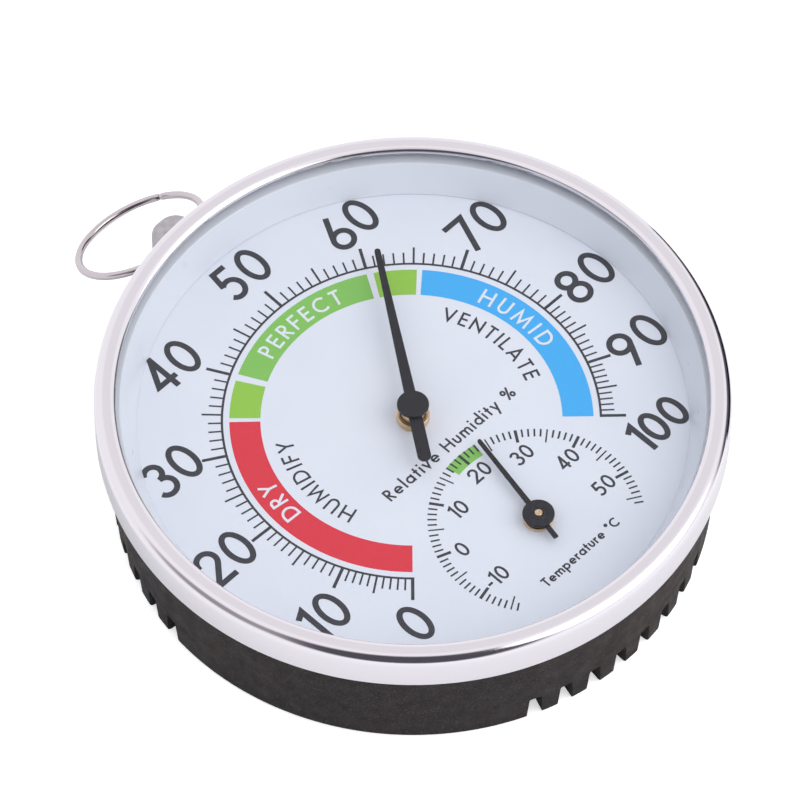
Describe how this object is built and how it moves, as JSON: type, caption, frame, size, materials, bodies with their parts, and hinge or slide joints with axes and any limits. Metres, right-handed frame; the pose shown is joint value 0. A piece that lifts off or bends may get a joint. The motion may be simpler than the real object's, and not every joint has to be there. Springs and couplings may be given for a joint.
{
  "type": "dial hygrometer",
  "caption": "Round wall dial hygrometer with a thermometer sub-dial, polished bezel, slotted dark case, two hands and a wire hanging ring.",
  "frame": {"origin": "centre of the flat back face", "axes": "+Z out of the dial, +Y towards the hanging ring at 12 o'clock, +X towards 3 o'clock"},
  "size_m": [0.1028, 0.1254, 0.0265],
  "materials": {
    "bezel_chrome": "polished plate with a satin skirt",
    "housing_plastic": "moulded, fine matte texture",
    "spacer_plastic": "white, satin",
    "dial_enamel": "white enamel, printed",
    "lens_glass": "clear and flat",
    "hand_lacquer": "black lacquer, satin",
    "movement_brass": "turned, lightly tarnished",
    "frame_steel": "bright sheet",
    "humidity_foil": "foil with a matte coating",
    "bimetal": "bimetal strip",
    "lug_steel": "satin cast and plated",
    "ring_chrome": "plated wire"
  },
  "bodies": {
    "case": {"rear_housing": "housing_plastic", "bezel_ring": "bezel_chrome", "lens": "lens_glass", "spacer_ring": "spacer_plastic", "dial_plate": "dial_enamel", "hygro_sleeve": "movement_brass", "hygro_sleeve_nut": "movement_brass", "hygro_frame": "frame_steel", "hygro_rear_bearing": "movement_brass", "hygro_coil": "humidity_foil", "thermo_sleeve": "movement_brass", "thermo_sleeve_nut": "movement_brass", "thermo_frame": "frame_steel", "thermo_rear_bearing": "movement_brass", "thermo_coil": "bimetal", "thermo_coil_post": "frame_steel", "hanger_lug": "lug_steel", "hanger_washer": "frame_steel", "hanger_nut": "frame_steel"},
    "calibration_lever": {"calibration_lever": "frame_steel"},
    "humidity_hand": {"hygro_arbor": "movement_brass", "hygro_collet": "movement_brass", "hygro_hand": "hand_lacquer", "hygro_hub": "hand_lacquer"},
    "temperature_hand": {"thermo_arbor": "movement_brass", "thermo_collet": "movement_brass", "thermo_hand": "hand_lacquer", "thermo_hub": "hand_lacquer"},
    "hanging_ring": {"hanging_ring": "ring_chrome"}
  },
  "joints": [
    {"name": "calibration_swing", "type": "hinge", "parent": "case", "child": "calibration_lever", "pos_m": [0, 0, 0.00695], "axis": [0, 0, -1], "range_deg": [-15, 15], "deforming": ["hygro_coil"]},
    {"name": "humidity_pointer", "type": "hinge", "parent": "calibration_lever", "child": "humidity_hand", "pos_m": [0, 0, 0.0214], "axis": [0, 0, -1], "range_deg": [-169.6, 99.7], "stiffness_Nm_per_rad": 0.0005, "deforming": ["hygro_coil"]},
    {"name": "temperature_pointer", "type": "hinge", "parent": "case", "child": "temperature_hand", "pos_m": [0, -0.028, 0.01925], "axis": [0, 0, -1], "range_deg": [-136, 111.5], "stiffness_Nm_per_rad": 0.0005, "deforming": ["thermo_coil"]},
    {"name": "ring_swing", "type": "hinge", "parent": "case", "child": "hanging_ring", "pos_m": [0, 0.0545, 0.0129], "axis": [1, 0, 0], "range_deg": [-80, 135]}
  ]
}
